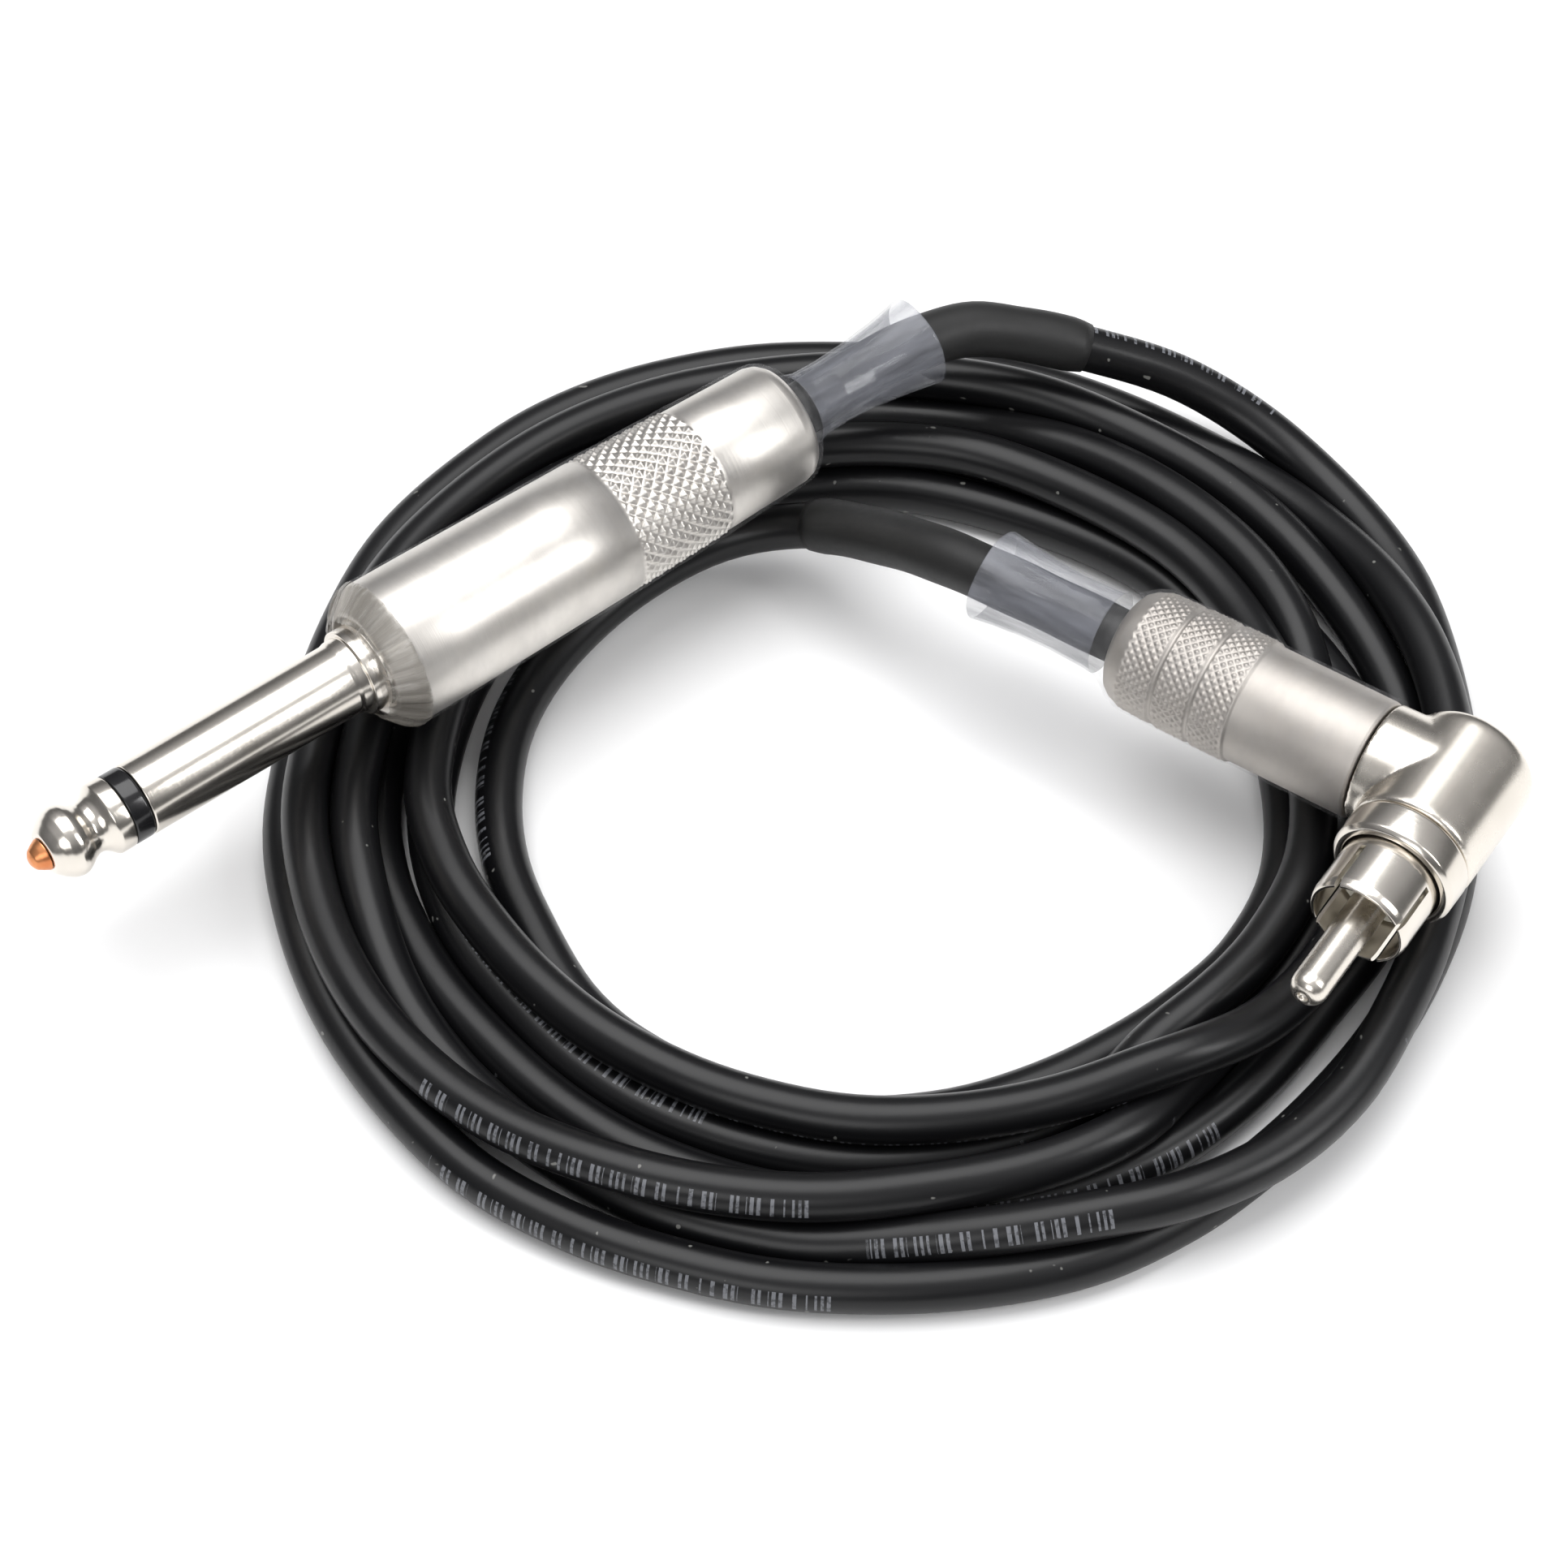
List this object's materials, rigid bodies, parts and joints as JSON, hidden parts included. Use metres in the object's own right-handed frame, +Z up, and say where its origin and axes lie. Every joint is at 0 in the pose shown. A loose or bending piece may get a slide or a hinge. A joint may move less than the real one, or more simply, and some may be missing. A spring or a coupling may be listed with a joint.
{
  "type": "instrument cable",
  "caption": "Coiled mono audio cord with a straight phone plug on one end and a right-angle phono plug on the other; both barrels screw off.",
  "frame": {"origin": "middle of the bounding box, at the floor that the coil lies on", "axes": "+Z up from the floor, +X from the phone plug's tip side towards the phono plug, along the longest extent"},
  "size_m": [0.1218, 0.1016, 0.0215],
  "materials": {
    "jacket": "semi-gloss black PVC with pale printed marks",
    "black_shrink": "matte black heat-shrink",
    "nickel": "warm bright nickel plate",
    "satin_nickel": "satin nickel with a diamond knurl",
    "clear_film": "clear heat-shrink film",
    "copper": "orange copper",
    "brass": "plain brass strip",
    "black_plastic": "glossy black",
    "white_plastic": "natural white",
    "insulating_board": "buff insulating board"
  },
  "bodies": {
    "cord_and_plugs": {"cable_coil": "jacket", "cable_jack_end": "jacket", "cable_phono_end": "jacket", "jack_black_shrink": "black_shrink", "phono_black_shrink": "black_shrink", "jack_centre_rod": "copper", "jack_tip": "nickel", "jack_insulator": "black_plastic", "jack_sleeve": "nickel", "jack_ground_lug": "brass", "jack_rear_washer": "insulating_board", "jack_tip_lug": "brass", "jack_core_insulation": "white_plastic", "jack_core_conductor": "copper", "jack_shield_pigtail": "copper", "phono_pin": "nickel", "phono_insulator": "white_plastic", "phono_shell": "nickel", "phono_collar": "nickel", "phono_elbow": "nickel", "phono_back_cap": "nickel", "phono_ground_strip": "brass", "phono_core_insulation": "white_plastic", "phono_core_conductor": "copper", "phono_shield_pigtail": "copper"},
    "jack_tube_body": {"jack_inner_tube": "insulating_board"},
    "jack_barrel_body": {"jack_barrel": "satin_nickel", "jack_clear_sleeve": "clear_film"},
    "phono_tube_body": {"phono_inner_tube": "insulating_board"},
    "phono_barrel_body": {"phono_barrel": "satin_nickel", "phono_clear_sleeve": "clear_film"}
  },
  "joints": [
    {"name": "jack_barrel_travel", "type": "slide", "parent": "cord_and_plugs", "child": "jack_tube_body", "axis": [0.7859, 0.6184, 0], "range_m": [0, 0.003]},
    {"name": "jack_barrel_turn", "type": "hinge", "parent": "jack_tube_body", "child": "jack_barrel_body", "pos_m": [-0.02121, 0.01492, 0.0149], "axis": [0.7859, 0.6184, 0], "range_deg": [0, 1440]},
    {"name": "phono_barrel_travel", "type": "slide", "parent": "cord_and_plugs", "child": "phono_tube_body", "axis": [-0.8387, 0.5446, 0], "range_m": [0, 0.003]},
    {"name": "phono_barrel_turn", "type": "hinge", "parent": "phono_tube_body", "child": "phono_barrel_body", "pos_m": [0.04112, -0.00023, 0.0136], "axis": [-0.8387, 0.5446, 0], "range_deg": [0, 1440]}
  ],
  "couplings": [
    {"joint": "jack_barrel_travel", "follows": "jack_barrel_turn", "m_per_rad": 0.00011937},
    {"joint": "phono_barrel_travel", "follows": "phono_barrel_turn", "m_per_rad": 0.00011937}
  ]
}
